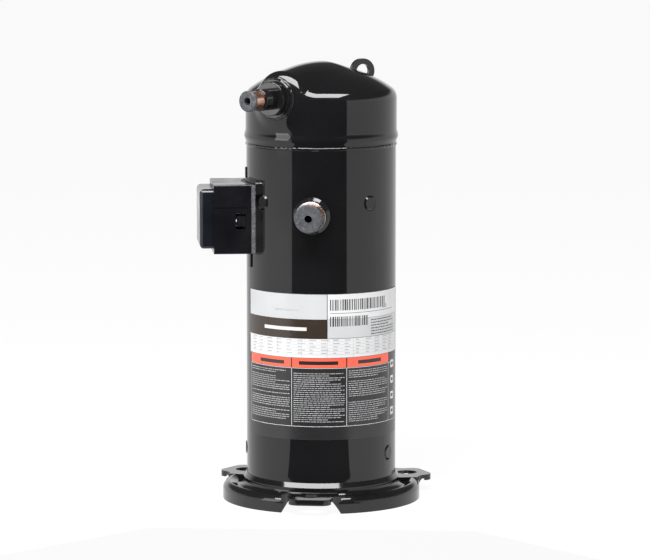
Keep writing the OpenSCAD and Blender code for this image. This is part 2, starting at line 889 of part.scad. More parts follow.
module latch_slots() {
    middle = box_half_w - box_wall - slide_gap - tongue_t / 2;
    for (s = [-1, 1]) translate([-shell_d / 2, s * middle, box_z + latch_z]) {
        cube([shell_d, tongue_t + 2 * slide_gap, 10 + 2 * slide_gap], center = true);
    }
}

module terminal_box() {
    inner_w = box_half_w - box_wall;
    inner_h = box_half_h - box_wall;
    color(black) difference() {
        intersection() {
            side_block(fence_front, box_front, box_half_w, box_half_h);
            translate([-shell_d, 0, box_z]) rotate([0, 90, 0]) linear_extrude(shell_d) {
                rounded_square(2 * box_half_h, 2 * box_half_w, 1.5);
            }
        }
        behind_sheet(gasket_r, gasket_front);
        side_block(shell_r / 2, box_front - box_wall, inner_w, inner_h);
        side_block(shell_r / 2, shell_d, mouth_half_w + slide_gap, mouth_half_h + slide_gap);
        translate([-latch_x0 - latch_l, -shell_r, box_z + latch_z - latch_half_h]) {
            cube([latch_l, shell_d, 2 * latch_half_h]);
        }
        for (s = [-1, 1]) translate([-box_front - over, s * box_half_w - 0.6, box_z + 10.4]) {
            cube([box_reach, 1.2, 0.8]);
        }
        translate([cable_setback - box_front, 0, box_z - shell_r]) cylinder(r = cable_hole_r, h = shell_r);
    }
}

module terminal_lid() {
    back = box_front - lid_depth;
    color(black) translate([0, 0, box_z]) difference() {
        rounded_lid(back, lid_front, mouth_half_w, mouth_half_h, lid_round);
        rounded_lid(
            back - lid_round, lid_front - box_wall, mouth_half_w - box_wall,
            mouth_half_h - box_wall, lid_round - 2
        );
    }
}

// A block whose front face and long edges are rounded
module rounded_lid(back, front, half_w, half_h, r) {
    depth = front - back + r;
    translate([-front, 0, 0]) intersection() {
        rotate([0, 90, 0]) linear_extrude(front - back) rounded_square(2 * half_h, 2 * half_w, r);
        translate([depth / 2, shell_r, 0]) rotate([90, 0, 0]) linear_extrude(shell_d) {
            rounded_square(depth, 2 * half_h, r);
        }
        translate([depth / 2, 0, -shell_r]) linear_extrude(shell_d) rounded_square(depth, 2 * half_w, r);
    }
}

// ---- Terminal ----

module pin_places(r) {
    outward(180, box_z) for (a = pin_bearings) rotate([0, 0, a]) translate([r, 0, 0]) children();
}

module terminal_cup() {
    color(steel) difference() {
        outward(180, box_z) difference() {
            translate([0, 0, cup_inner]) cylinder(r = cup_r, h = cup_depth);
            translate([0, 0, cup_inner + 3]) cylinder(r = cup_r - 2.2, h = cup_depth);
        }
        pin_places(pin_circle_r) cylinder(r = glass_r, h = shell_d, $fn = 32);
    }
}

module glass_seals() {
    color([0.2, 0.35, 0.55]) pin_places(pin_circle_r) translate([0, 0, cup_inner - 0.5]) difference() {
        cylinder(r = glass_r - 0.05, h = 4, $fn = 32);
        translate([0, 0, -over]) cylinder(r = pin_r + 0.05, h = 6, $fn = 32);
    }
}

module terminal_pins() {
    color(steel) pin_places(pin_circle_r) translate([0, 0, pin_inner]) {
        cylinder(r = pin_r, h = pin_outer - pin_inner, $fn = 32);
    }
}

module ground_screw() {
    color([0.3, 0.5, 0.32]) outward(180, box_z - window_half_h + 5) {
        translate([0, 14, shell_r - 0.65]) {
            cylinder(r = 4, h = 3, $fn = 32);
            cylinder(r = 2.4, h = 9, $fn = 32);
            translate([0, 0, 6]) cylinder(r = 4.6, h = 3.4, $fn = 6);
        }
    }
}

// ---- Discharge chamber ----

module muffler_plate() {
    rise = muffler_top - shell_top;
    color(iron) difference() {
        rotate_extrude() polygon(concat(
            [[muffler_r - muffler_wall, shell_top], [shell_r, shell_top], [shell_r, shoulder_z]],
            [[muffler_r, shoulder_z]],
            arc([muffler_r - 8, muffler_top - 8], 8, 0, 90),
            [[0, muffler_top], [0, muffler_top - muffler_t]],
            arc([muffler_r - 8, muffler_top - 8], 8 - muffler_wall, 90, 0)
        ));
        translate([0, 0, muffler_top - rise]) cylinder(r = 8, h = 2 * rise);
    }
}

module valve_disc() {
    color(steel) translate([0, 0, muffler_top + valve_gap]) cylinder(r = disc_r, h = disc_t);
}

module valve_retainer() {
    inside = valve_gap + disc_t + disc_lift + valve_gap;
    color(iron) translate([0, 0, muffler_top]) difference() {
        union() {
            cylinder(r = disc_r + 7, h = 2);
            cylinder(r = disc_r + 3, h = inside + 2);
        }
        translate([0, 0, -over]) cylinder(r = disc_r + 1, h = inside + over);
        for (i = [0:3]) rotate([0, 0, 90 * i]) translate([6, 0, 0]) cylinder(r = 2.5, h = 20, $fn = 32);
    }
}

module relief_valve() {
    color([0.7, 0.55, 0.25]) rotate([0, 0, 20]) translate([36, 0, muffler_top]) {
        cylinder(r = 8, h = 6, $fn = 6);
        translate([0, 0, 6]) cylinder(r = 5.5, h = 6, $fn = 48);
        translate([0, 0, 12]) cylinder(r1 = 5.5, r2 = 3, h = 3, $fn = 48);
    }
}

module thermal_disc() {
    color(steel) rotate([0, 0, 150]) translate([36, 0, muffler_top]) {
        cylinder(r = 10, h = 1);
        cylinder(r = 8, h = 5);
    }
}

// ---- Scroll set ----

module spiral_wrap() {
    step = 0.1;
    count = floor((wrap_end - wrap_start) / step);
    rolls = concat([for (i = [0:count]) wrap_start + i * step], [wrap_end]);
    last = len(rolls) - 1;
    linear_extrude(wrap_h) polygon(concat(
        [for (i = [0:last]) involute(rolls[i], wrap_half)],
        [for (i = [0:last]) involute(rolls[last - i], -wrap_half)]
    ));
}

module bolt_places() {
    for (i = [0:3]) rotate([0, 0, upper_weld_bearing + 90 * i]) translate([bolt_r, 0, 0]) children();
}

module fixed_scroll() {
    rim_z = fixed_floor - wrap_h;
    color(iron) difference() {
        union() {
            translate([0, 0, fixed_floor]) cylinder(r = rim_r + rim_wall, h = fixed_plate_t);
            translate([0, 0, rim_z]) difference() {
                ring(rim_r + rim_wall, rim_r, wrap_h + 0.5);
                for (a = [0, 180]) rotate([0, 0, a]) translate([0, -16, -over]) cube([2 * bore_r, 32, 15]);
            }
            translate([0, 0, rim_z]) spiral_wrap();
            bolt_places() translate([0, 0, ear_z]) {
                cylinder(r = post_r, h = ear_top - ear_z);
                translate([rim_r + 1 - bolt_r, -post_r, 0]) cube([bolt_r - rim_r - 1, 2 * post_r, ear_top - ear_z]);
            }
        }
        translate([0, 0, fixed_top - seal_groove]) ring(seal_r[1] + slide_gap, seal_r[0] - slide_gap, 20);
        translate([0, 0, fixed_floor - over]) cylinder(r = port_r, h = 2 * fixed_plate_t);
        bolt_places() cylinder(r = bolt_hole_r, h = 2 * seam_z, $fn = 32);
    }
}

module floating_seal() {
    color(steel) translate([0, 0, fixed_top - seal_groove + slide_gap]) {
        ring(seal_r[1], seal_r[0], 7);
        translate([0, 0, 7]) ring(seal_r[1] - 2, seal_r[0] + 6, 1.6);
    }
}

module orbiting_scroll() {
    color([0.55, 0.56, 0.58]) translate([0, orbit_r, 0]) difference() {
        union() {
            translate([0, 0, orbit_z]) cylinder(r = orbit_plate_r, h = orbit_plate_t);
            translate([0, 0, orbit_top]) rotate([0, 0, 180]) spiral_wrap();
            translate([0, 0, hub_z]) ring(hub_r, hub_bore_r + seat_gap / 2, orbit_z - hub_z + 0.5);
        }
        for (s = [0, 180]) rotate([0, 0, s]) {
            translate([-slot_half, key_r - orbit_r - key_half_l - slide_gap, orbit_z - over]) {
                cube([2 * slot_half, bore_r, key_depth + over]);
            }
        }
    }
}

module drive_bearing() {
    color([0.62, 0.5, 0.34]) translate([0, orbit_r, hub_z]) ring(hub_bore_r, drive_bore_r, hub_l - 2);
}

module oldham_ring() {
    color([0.7, 0.7, 0.72]) {
        translate([0, 0, oldham_z]) ring(oldham_r, oldham_in, oldham_t);
        for (s = [-1, 1]) {
            translate([s * key_r, 0, oldham_z - key_depth / 2 + 0.5]) {
                cube([2 * key_half_l, 2 * key_half_w, key_depth + 1], center = true);
            }
            translate([0, s * key_r, (oldham_z + oldham_t + orbit_z + key_depth) / 2 - 0.8]) {
                cube([
                    2 * key_half_w, 2 * key_half_l,
                    orbit_z + key_depth - oldham_z - oldham_t,
                ], center = true);
            }
        }
    }
}

// ---- Frame ----

module main_frame() {
    key_slot = [bolt_r - 7 - thrust_out - 1, 2 * (key_half_w + slide_gap), key_depth + 1];
    color(iron) difference() {
        union() {
            translate([0, 0, flange_z]) cylinder(r = bore_r - seat_gap, h = flange_t);
            translate([0, 0, frame_hub_z]) cylinder(r = frame_hub_r, h = flange_z - frame_hub_z + over);
            translate([0, 0, flange_z]) cylinder(r = thrust_out, h = thrust_z - flange_z);
            bolt_places() translate([0, 0, flange_z + over]) cylinder(r = post_r, h = ear_z - flange_z - over);
        }
        translate([0, 0, pocket_z]) cylinder(r = pocket_r, h = shell_d);
        translate([0, 0, frame_hub_z - over]) cylinder(r = journal_r + 1, h = shell_d);
        translate([0, 0, bearing_z]) cylinder(r = bearing_r + sleeve_wall, h = bearing_l);
        for (a = scoop_bearings) rotate([0, 0, a]) translate([scoop_centre, 0, frame_hub_z]) {
            cylinder(r = scoop_r, h = shell_d);
        }
        for (s = [0, 180]) rotate([0, 0, s]) {
            translate([thrust_out + 1, -key_half_w - slide_gap, recess_z - key_depth]) cube(key_slot);
        }
        bolt_places() translate([0, 0, flange_z + 6]) cylinder(r = bolt_hole_r, h = shell_d, $fn = 32);
    }
}

module thrust_plate() {
    color(steel) translate([0, 0, thrust_z]) ring(thrust_out, pocket_r + 0.4, thrust_t);
}

module frame_bolts() {
    color(steel) bolt_places() {
        translate([0, 0, flange_z + 8]) cylinder(r = bolt_hole_r - seat_gap, h = ear_top - flange_z - 8, $fn = 32);
        translate([0, 0, ear_top]) cylinder(r = 5.6, h = 5, $fn = 6);
    }
}

module main_bearing() {
    color([0.62, 0.5, 0.34]) translate([0, 0, bearing_z]) {
        ring(bearing_r + sleeve_wall - seat_gap / 2, bearing_r, bearing_l);
    }
}

// ---- Crank ----

module crankshaft() {
    color(steel) difference() {
        union() {
            translate([0, 0, shaft_foot_z]) cylinder(r = lower_journal_r, h = stator_z - shaft_foot_z);
            translate([0, 0, lower_hub_top + 4]) cylinder(r = shaft_r, h = bearing_z - lower_hub_top);
            translate([0, 0, bearing_z - 3]) cylinder(r = journal_r, h = journal_top - bearing_z + 3);
            translate([0, orbit_r, journal_top - over]) cylinder(r = pin_ecc_r, h = orbit_z - 1 - journal_top);
        }
        translate([0, 0, shaft_foot_z - over]) cylinder(r = pickup_r + seat_gap / 2, h = 16 + over);
        translate([0, 4, shaft_foot_z + 10]) cylinder(r = 2, h = orbit_z, $fn = 32);
    }
}

module drive_bushing() {
    color(steel) translate([0, orbit_r, hub_z]) ring(bushing_r, pin_ecc_r + running_gap, hub_l - 3);
}

// Half a ring that balances the orbiting scroll
module counterweight(z, side) {
    translate([0, 0, z]) rotate([0, 0, side]) {
        ring(shaft_r + 4, shaft_r + seat_gap / 2, weight_h);
        rotate([0, 0, -85]) rotate_extrude(angle = 170) {
            translate([shaft_r + 3, 0]) square([weight_r - shaft_r - 3, weight_h]);
        }
    }
}

module upper_counterweight() {
    color(iron) counterweight(rotor_z + rotor_h + end_ring_h, -90);
}

module lower_counterweight() {
    color(iron) counterweight(rotor_z - end_ring_h - weight_h, 90);
}

module oil_pickup() {
    color(steel) translate([0, 0, 2]) ring(pickup_r, pickup_r - 1, shaft_foot_z + 10);
}

// ---- Motor ----

module cage_places() {
    for (i = [0:cage_bars - 1]) rotate([0, 0, 360 / cage_bars * i]) {
        translate([rotor_r - bar_r - 1, 0, 0]) children();
    }
}

module rotor_core() {
    color(iron) translate([0, 0, rotor_z]) difference() {
        ring(rotor_r, shaft_r + seat_gap / 2, rotor_h);
        cage_places() translate([0, 0, -over]) cylinder(r = bar_r + 0.02, h = rotor_h + 2 * over, $fn = 24);
    }
}

module rotor_cage() {
    color([0.75, 0.76, 0.78]) translate([0, 0, rotor_z]) {
        for (z = [-end_ring_h, rotor_h]) translate([0, 0, z]) ring(rotor_r - 0.6, shaft_r + 9, end_ring_h);
        cage_places() translate([0, 0, -over]) cylinder(r = bar_r, h = rotor_h + 2 * over, $fn = 24);
    }
}

module stator_core() {
    slot_l = slot_r[1] - slot_r[0];
    color([0.5, 0.5, 0.53]) translate([0, 0, stator_z]) difference() {
        ring(stator_r, stator_bore_r, stator_h);
        for (i = [0:slots - 1]) rotate([0, 0, 360 / slots * i]) {
            translate([slot_r[0], -2.6, -over]) cube([slot_l, 5.2, stator_h + 2 * over]);
            translate([stator_bore_r - over, -1.1, -over]) cube([6, 2.2, stator_h + 2 * over]);
        }
    }
}

module stator_windings() {
    slot_l = slot_r[1] - slot_r[0];
    color([0.72, 0.36, 0.18]) {
        for (z = [stator_z - end_turn_h, stator_z + stator_h]) translate([0, 0, z]) end_turns();
        for (i = [0:slots - 1]) rotate([0, 0, 360 / slots * i]) {
            translate([slot_r[0] + 0.4, -2.2, stator_z - 2]) cube([slot_l - 0.8, 4.4, stator_h + 4]);
        }
    }
}

module end_turns() {
    wide = winding_r[1] - winding_r[0];
    rotate_extrude() translate([(winding_r[0] + winding_r[1]) / 2, end_turn_h / 2]) {
        rounded_square(wide, end_turn_h - 1, 6);
    }
    rotate_extrude() translate([slot_r[0] + 0.4, 0]) {
        square([slot_r[1] - slot_r[0] - 0.8, end_turn_h]);
    }
}

module motor_protector() {
    color(steel) rotate([0, 0, 90]) translate([(winding_r[0] + winding_r[1]) / 2, 0, winding_top]) {
        cylinder(r = 8, h = 8);
        translate([0, 0, 8]) cylinder(r = 3, h = 3, $fn = 32);
    }
}

// Insulated leads from the windings up and out to the terminal's pins
module motor_leads() {
    lead_r = 2.2;
    bend = 6;
    up = (winding_r[0] + winding_r[1]) / 2 - 6;
    color([0.7, 0.25, 0.2]) for (a = pin_bearings) {
        pin_y = -pin_circle_r * sin(a);
        pin_z = box_z - pin_circle_r * cos(a);
        translate([-up, pin_y, winding_top]) cylinder(r = lead_r, h = pin_z - bend - winding_top, $fn = 24);
        translate([-up - bend, pin_y, pin_z - bend]) rotate([90, 0, 0]) rotate_extrude(angle = 90, $fn = 24) {
            translate([bend, 0]) circle(r = lead_r, $fn = 24);
        }
        translate([-pin_inner - 4, pin_y, pin_z]) rotate([0, 90, 0]) difference() {
            cylinder(r = lead_r, h = pin_inner + 4 - up - bend, $fn = 24);
            translate([0, 0, -over]) cylinder(r = pin_r + seat_gap / 2, h = 4 + over, $fn = 24);
        }
    }
}

// ---- Lower bearing ----

module lower_bracket() {
    color(iron) difference() {
        union() {
            translate([0, 0, bracket_z]) ring(bore_r - seat_gap, bore_r - 7, bracket_t);
            translate([0, 0, hub_foot_z]) cylinder(r = lower_hub_r, h = lower_hub_top - hub_foot_z);
            for (i = [0:2]) rotate([0, 0, 120 * i]) translate([0, -9, bracket_z]) {
                cube([bore_r - 4, 18, bracket_t]);
            }
        }
        translate([0, 0, hub_foot_z - over]) cylinder(r = pickup_r + 1, h = shell_d);
        translate([0, 0, shaft_foot_z - washer_t]) cylinder(r = lower_bore_r + sleeve_wall, h = shell_d);
    }
}

module lower_bearing() {
    color([0.62, 0.5, 0.34]) translate([0, 0, shaft_foot_z]) {
        ring(lower_bore_r + sleeve_wall - seat_gap / 2, lower_bore_r, lower_hub_top - shaft_foot_z);
    }
}

module thrust_washer() {
    color(steel) translate([0, 0, shaft_foot_z - washer_t]) {
        ring(lower_bore_r + sleeve_wall - seat_gap, pickup_r + 1, washer_t);
    }
}

module chip_magnet() {
    inner_r = dish_r - bottom_t;
    sink = inner_r - sqrt(pow(inner_r, 2) - pow(magnet_r, 2)) + seat_gap;
    color([0.25, 0.25, 0.27]) translate([0, 0, dish_z]) rotate([0, -9, 60]) {
        translate([0, 0, sink - inner_r]) cylinder(r = magnet_r, h = 5);
    }
}

shell_body();
top_cap();
bottom_cap();
foot_plate();
lifting_lug();
plug_welds();
suction_collar();
suction_stub();
suction_plug();
suction_screen();
discharge_collar();
discharge_stub();
discharge_plug();
nameplate_label();
terminal_fence();
terminal_gasket();
terminal_box();
terminal_lid();
terminal_cup();
glass_seals();
terminal_pins();
ground_screw();
muffler_plate();
valve_disc();
valve_retainer();
relief_valve();
thermal_disc();
fixed_scroll();
floating_seal();
orbiting_scroll();
drive_bearing();
oldham_ring();
main_frame();
thrust_plate();
frame_bolts();
main_bearing();
crankshaft();
drive_bushing();
upper_counterweight();
lower_counterweight();
oil_pickup();
rotor_core();
rotor_cage();
stator_core();
stator_windings();
motor_protector();
motor_leads();
lower_bracket();
lower_bearing();
thrust_washer();
chip_magnet();
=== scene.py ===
import json
import math
import random

import bpy
import numpy as np
from mathutils import Matrix, Vector


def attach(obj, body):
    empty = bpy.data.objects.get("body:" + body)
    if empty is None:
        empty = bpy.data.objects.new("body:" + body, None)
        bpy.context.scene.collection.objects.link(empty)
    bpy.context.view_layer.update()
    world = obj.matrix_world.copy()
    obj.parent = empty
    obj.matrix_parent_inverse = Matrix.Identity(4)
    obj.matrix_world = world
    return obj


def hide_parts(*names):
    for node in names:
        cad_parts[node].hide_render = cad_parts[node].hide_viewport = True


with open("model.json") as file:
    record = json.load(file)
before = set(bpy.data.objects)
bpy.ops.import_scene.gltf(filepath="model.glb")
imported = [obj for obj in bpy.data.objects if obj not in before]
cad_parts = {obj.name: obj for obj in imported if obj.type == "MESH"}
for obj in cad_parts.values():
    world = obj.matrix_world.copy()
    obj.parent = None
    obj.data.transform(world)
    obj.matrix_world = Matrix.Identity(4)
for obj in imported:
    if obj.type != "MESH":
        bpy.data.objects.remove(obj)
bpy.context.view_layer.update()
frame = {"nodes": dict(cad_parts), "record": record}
rng = random.Random(7)


def node(tree, kind, **values):
    made = tree.nodes.new(kind)
    for key, value in values.items():
        setattr(made, key, value)
    return made


def ramp(tree, stops, source):
    made = node(tree, "ShaderNodeValToRGB")
    bar = made.color_ramp
    while len(bar.elements) < len(stops):
        bar.elements.new(0.5)
    for element, (place, colour) in zip(bar.elements, stops):
        element.position = place
        element.color = (*colour, 1)
    tree.links.new(source, made.inputs["Fac"])
    return made.outputs["Color"]


def noise(tree, scale, detail, stretch=(1, 1, 1)):
    where = node(tree, "ShaderNodeTexCoord")
    turn = node(tree, "ShaderNodeMapping")
    turn.inputs["Scale"].default_value = stretch
    made = node(tree, "ShaderNodeTexNoise")
    made.inputs["Scale"].default_value = scale
    made.inputs["Detail"].default_value = detail
    tree.links.new(where.outputs["Object"], turn.inputs["Vector"])
    tree.links.new(turn.outputs["Vector"], made.inputs["Vector"])
    return made.outputs["Fac"]


# how every finish varies: where its slow noise starts and stops, and how fine its parts are
mottle = {"low": 0.3, "high": 0.7, "detail": 5, "roughScale": 1.7, "speckEdge": 0.06,
          "speckDetail": 2, "bumpScale": 4, "bumpDetail": 3}


# dark and light are the ends of the colour's slow change, rough the ends of the roughness
def surface(name, dark, light, rough, grain, bump, metal=0.0, stretch=(1, 1, 1),
            bumpGrain=None, bumpDeep=0.0002, specks=None, paintedGlow=None):
    made = bpy.data.materials.new(name)
    made.use_nodes = True
    tree = made.node_tree
    shader = tree.nodes["Principled BSDF"]
    slow = noise(tree, grain, mottle["detail"], stretch)
    colour = ramp(tree, [(mottle["low"], dark), (mottle["high"], light)], slow)
    if specks:
        share, speckColour, speckGrain = specks
        fine = noise(tree, speckGrain, mottle["speckDetail"])
        mask = ramp(tree, [(share, (0, 0, 0)), (share + mottle["speckEdge"], (1, 1, 1))], fine)
        mix = node(tree, "ShaderNodeMix", data_type="RGBA")
        tree.links.new(mask, mix.inputs["Factor"])
        tree.links.new(colour, mix.inputs["A"])
        mix.inputs["B"].default_value = (*speckColour, 1)
        colour = mix.outputs["Result"]
    tree.links.new(colour, shader.inputs["Base Color"])
    spread = node(tree, "ShaderNodeMapRange")
    spread.inputs["From Min"].default_value = mottle["low"]
    spread.inputs["From Max"].default_value = mottle["high"]
    spread.inputs["To Min"].default_value = rough[0]
    spread.inputs["To Max"].default_value = rough[1]
    patchy = noise(tree, grain * mottle["roughScale"], mottle["detail"], stretch)
    tree.links.new(patchy, spread.inputs["Value"])
    tree.links.new(spread.outputs["Result"], shader.inputs["Roughness"])
    shader.inputs["Metallic"].default_value = metal
    if bump:
        push = node(tree, "ShaderNodeBump")
        push.inputs["Strength"].default_value = bump
        push.inputs["Distance"].default_value = bumpDeep
        fineGrain = bumpGrain or grain * mottle["bumpScale"]
        height = noise(tree, fineGrain, mottle["bumpDetail"], stretch)
        tree.links.new(height, push.inputs["Height"])
        tree.links.new(push.outputs["Normal"], shader.inputs["Normal"])
    # a painted glow: emission that brightens a surface though it is no lamp
    if paintedGlow:
        shader.inputs["Emission Color"].default_value = (*paintedGlow[0], 1)
        shader.inputs["Emission Strength"].default_value = paintedGlow[1]
    return made


enamel = surface("gloss enamel", (0.008, 0.008, 0.009), (0.014, 0.014, 0.015), (0.03, 0.07),
                 grain=9, bump=0.25, bumpGrain=55, bumpDeep=0.00012)
footEnamel = surface("foot enamel", (0.008, 0.008, 0.009), (0.018, 0.018, 0.019), (0.04, 0.11),
                     grain=22, bump=0.3, bumpGrain=160, bumpDeep=0.00015)
boxPlastic = surface("box plastic", (0.006, 0.006, 0.008), (0.012, 0.012, 0.015), (0.16, 0.28),
                     grain=30, bump=0.15, bumpGrain=900, bumpDeep=0.00008)
lidPlastic = surface("lid plastic", (0.008, 0.009, 0.014), (0.014, 0.015, 0.022), (0.12, 0.24),
                     grain=30, bump=0.15, bumpGrain=900, bumpDeep=0.00008)
sheetEnamel = surface("fence enamel", (0.01, 0.01, 0.011), (0.025, 0.025, 0.026), (0.12, 0.25),
                      grain=40, bump=0.2, bumpGrain=300)
copper = surface("bare copper", (0.72, 0.36, 0.25), (0.93, 0.58, 0.45), (0.2, 0.34), metal=1,
                 grain=70, stretch=(1, 1, 3), bump=0.12, bumpGrain=600)
turnedSteel = surface("turned steel", (0.42, 0.43, 0.45), (0.62, 0.63, 0.65), (0.2, 0.34),
                      metal=1, grain=60, stretch=(1, 1, 12), bump=0.15, bumpGrain=260)
rubber = surface("plug rubber", (0.030, 0.032, 0.038), (0.085, 0.088, 0.098), (0.55, 0.75),
                 grain=260, bump=0.5, bumpGrain=900, bumpDeep=0.0003,
                 specks=(0.6, (0.17, 0.175, 0.19), 900))
foam = surface("gasket foam", (0.07, 0.07, 0.075), (0.16, 0.16, 0.165), (0.8, 0.95),
               grain=500, bump=0.9, bumpGrain=1500, bumpDeep=0.0006,
               specks=(0.58, (0.34, 0.34, 0.35), 1400))
iron = surface("machined iron", (0.20, 0.21, 0.22), (0.36, 0.37, 0.38), (0.32, 0.5), metal=0.9,
               grain=45, stretch=(1, 1, 5), bump=0.3, bumpGrain=400)
bronze = surface("sintered bronze", (0.42, 0.27, 0.12), (0.62, 0.44, 0.24), (0.3, 0.45), metal=1,
                 grain=160, bump=0.3, bumpGrain=900)
laminations = surface("laminations", (0.16, 0.17, 0.18), (0.34, 0.35, 0.37), (0.3, 0.45),
                      metal=0.9, grain=30, stretch=(1, 1, 60), bump=0.5, bumpGrain=90)
aluminium = surface("cast aluminium", (0.52, 0.53, 0.55), (0.72, 0.73, 0.74), (0.3, 0.48),
                    metal=1, grain=80, bump=0.4, bumpGrain=500)
winding = surface("varnished wire", (0.26, 0.08, 0.025), (0.55, 0.22, 0.08), (0.18, 0.34),
                  metal=0.3, grain=45, stretch=(1, 1, 14), bump=0.9, bumpGrain=120, bumpDeep=0.0008)
sleeving = surface("woven sleeving", (0.28, 0.04, 0.03), (0.5, 0.1, 0.07), (0.6, 0.8),
                   grain=500, bump=0.6, bumpGrain=1600)
glass = surface("fused glass", (0.04, 0.10, 0.22), (0.08, 0.2, 0.36), (0.04, 0.1),
                grain=200, bump=0.1)
groundGreen = surface("green chromate", (0.05, 0.22, 0.08), (0.12, 0.38, 0.16), (0.25, 0.4),
                      metal=0.6, grain=300, bump=0.2)
ferrite = surface("ferrite", (0.05, 0.05, 0.055), (0.1, 0.1, 0.105), (0.6, 0.8),
                  grain=300, bump=0.4)
film = surface("label film", (0.030, 0.030, 0.031), (0.038, 0.038, 0.040), (0.24, 0.32),
               grain=14, bump=0.05, bumpGrain=120)

finishes = {
    "shell_paint": enamel, "foot_paint": footEnamel, "copper": copper,
    "plug_rubber": rubber, "box_plastic": boxPlastic,
    "gasket_foam": foam, "label_film": film, "machined_iron": iron,
    "turned_steel": turnedSteel, "bearing_bronze": bronze, "electrical_steel": laminations,
    "rotor_aluminium": aluminium, "winding_enamel": winding, "lead_insulation": sleeving,
    "seal_glass": glass, "ground_green": groundGreen, "magnet": ferrite,
}
special = {"terminal_fence": sheetEnamel, "terminal_lid": lidPlastic}


def dress(target, material):
    target.data.materials.clear()
    target.data.materials.append(material)


for part in frame["record"]["subparts"]:
    finish = special.get(part["node"], finishes[part["material_slot"]])
    dress(frame["nodes"][part["node"]], finish)
print("finishes set")


def addMesh(name, verts, faces, materials, body="housing", smooth=True,
            kinds=None):
    data = bpy.data.meshes.new(name)
    data.from_pydata([tuple(v) for v in verts], [], [tuple(f) for f in faces])
    data.validate()
    made = bpy.data.objects.new(name, data)
    bpy.context.scene.collection.objects.link(made)
    for material in materials:
        data.materials.append(material)
    if kinds is not None:
        data.polygons.foreach_set("material_index", kinds)
    data.polygons.foreach_set("use_smooth", [smooth] * len(data.polygons))
    data.update()
    if body:
        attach(made, body)
    return made


def around(bearing, r, z):
    a = math.radians(bearing)
    return (r * math.cos(a), r * math.sin(a), z)


# faces that join one row of points to the next; every row goes all the way round
def gridFaces(rows, cols):
    out = []
    for i in range(rows - 1):
        for j in range(cols):
            k = (j + 1) % cols
            out.append((i * cols + j, i * cols + k, (i + 1) * cols + k, (i + 1) * cols + j))
    return out


# the cap: a dome, a knuckle and a pressed boss that run smoothly into one another
cap = {
    "seam": 0.322, "side": 0.0705, "knuckle": 0.012, "knuckleZ": 0.3633, "crown": 0.113,
    "bossBearing": -130, "bossZ": 0.367, "bossR": 0.0245, "bossRound": 0.008,
    "bossFace": 0.0705, "blend": 0.011, "topBlend": 0.007, "topFrom": 0.374, "topSpan": 0.016,
    "start": 0.338, "lip": 0.0718, "lipHigh": 0.013, "lipFoot": 0.06995, "edgeR": 0.0699,
    "edgeDown": 0.0022, "rowsFrom": 0.0015, "rowsTo": 0.0135, "lipRows": 26, "cols": 480,
}
# the rays that find the cap's face: where they begin, how many steps and what share of each
march = {"first": 0.03, "steps": 60, "share": 0.9}
cap["crownZ"] = cap["knuckleZ"] - math.sqrt(
    (cap["crown"] - cap["knuckle"]) ** 2 - (cap["side"] - cap["knuckle"]) ** 2)


def domeDistance(r, z):
    inner = cap["crown"] - cap["knuckle"]
    cx, cz = cap["side"] - cap["knuckle"], cap["knuckleZ"]
    lean = math.atan2(cz - cap["crownZ"], cx)
    turn = np.arctan2(z - cz, r - cx)
    ball = np.hypot(r, z - cap["crownZ"]) - inner
    corner = np.hypot(r - cx, z - cz)
    return np.where(z <= cz, r - cx, np.where(turn > lean, ball, corner)) - cap["knuckle"]


def bossDistance(x, y, z):
    a = math.radians(cap["bossBearing"])
    along = x * math.cos(a) + y * math.sin(a)
    aside = np.hypot(y * math.cos(a) - x * math.sin(a), z - cap["bossZ"])
    half = (cap["bossFace"] - cap["bossRound"]) / 2
    d0 = aside - (cap["bossR"] - cap["bossRound"])
    d1 = np.abs(along - half) - half
    return (np.hypot(np.maximum(d0, 0), np.maximum(d1, 0))
            + np.minimum(np.maximum(d0, d1), 0) - cap["bossRound"])


def capDistance(x, y, z):
    a, b = domeDistance(np.hypot(x, y), z), bossDistance(x, y, z)
    k = cap["blend"] + cap["topBlend"] * np.clip((z - cap["topFrom"]) / cap["topSpan"], 0, 1)
    h = np.clip(0.5 + 0.5 * (b - a) / k, 0, 1)
    return b * (1 - h) + a * h - k * h * (1 - h)


def makeCap():
    cols = cap["cols"]
    turn = np.linspace(0, 2 * math.pi, cols, endpoint=False)
    rows = []
    seam, lip, side = cap["seam"], cap["lip"], cap["side"]
    heights = np.linspace(seam - cap["rowsFrom"], seam + cap["rowsTo"], cap["lipRows"])
    for z in np.concatenate([[seam - cap["edgeDown"]], heights]):
        t = (z - seam) / cap["lipHigh"]
        low = cap["lipFoot"] if t < 0.5 else side
        s = min(max(1 - abs(t - 0.5) / 0.5, 0), 1)
        s = s * s * (3 - 2 * s)
        r = low + (lip - low) * s if z > seam - 0.002 else cap["edgeR"]
        rows.append(np.stack([r * np.cos(turn), r * np.sin(turn), np.full(cols, z)], 1))
    angles = np.concatenate([np.linspace(0, 70, 190), np.linspace(70.5, 89.7, 40)])
    for e in np.radians(angles):
        d = np.stack([np.cos(turn) * math.cos(e), np.sin(turn) * math.cos(e),
                      np.full(cols, math.sin(e))], 1)
        far = np.full(cols, march["first"])
        for _ in range(march["steps"]):
            p = d * far[:, None]
            gap = capDistance(p[:, 0], p[:, 1], p[:, 2] + cap["start"])
            far = far - march["share"] * gap
        p = d * far[:, None]
        p[:, 2] += cap["start"]
        rows.append(p)
    verts = np.concatenate(rows)
    faces = gridFaces(len(rows), cols)
    top = len(verts)
    verts = np.concatenate([verts, [[0, 0, verts[-cols:, 2].mean()]]])
    base = top - cols
    faces += [(base + j, base + (j + 1) % cols, top) for j in range(cols)]
    made = addMesh("cap_pressing", verts, faces, [enamel])
    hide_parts("top_cap")


makeCap()
print("cap made")


# the weld that fills the groove under the cap's lip, laid in short ripples
seamWeld = {"r": 0.07, "z": 0.3208, "size": 0.0011, "cols": 720, "rows": 9, "sink": 0.45,
            "tall": 1.5, "rise": 0.6}


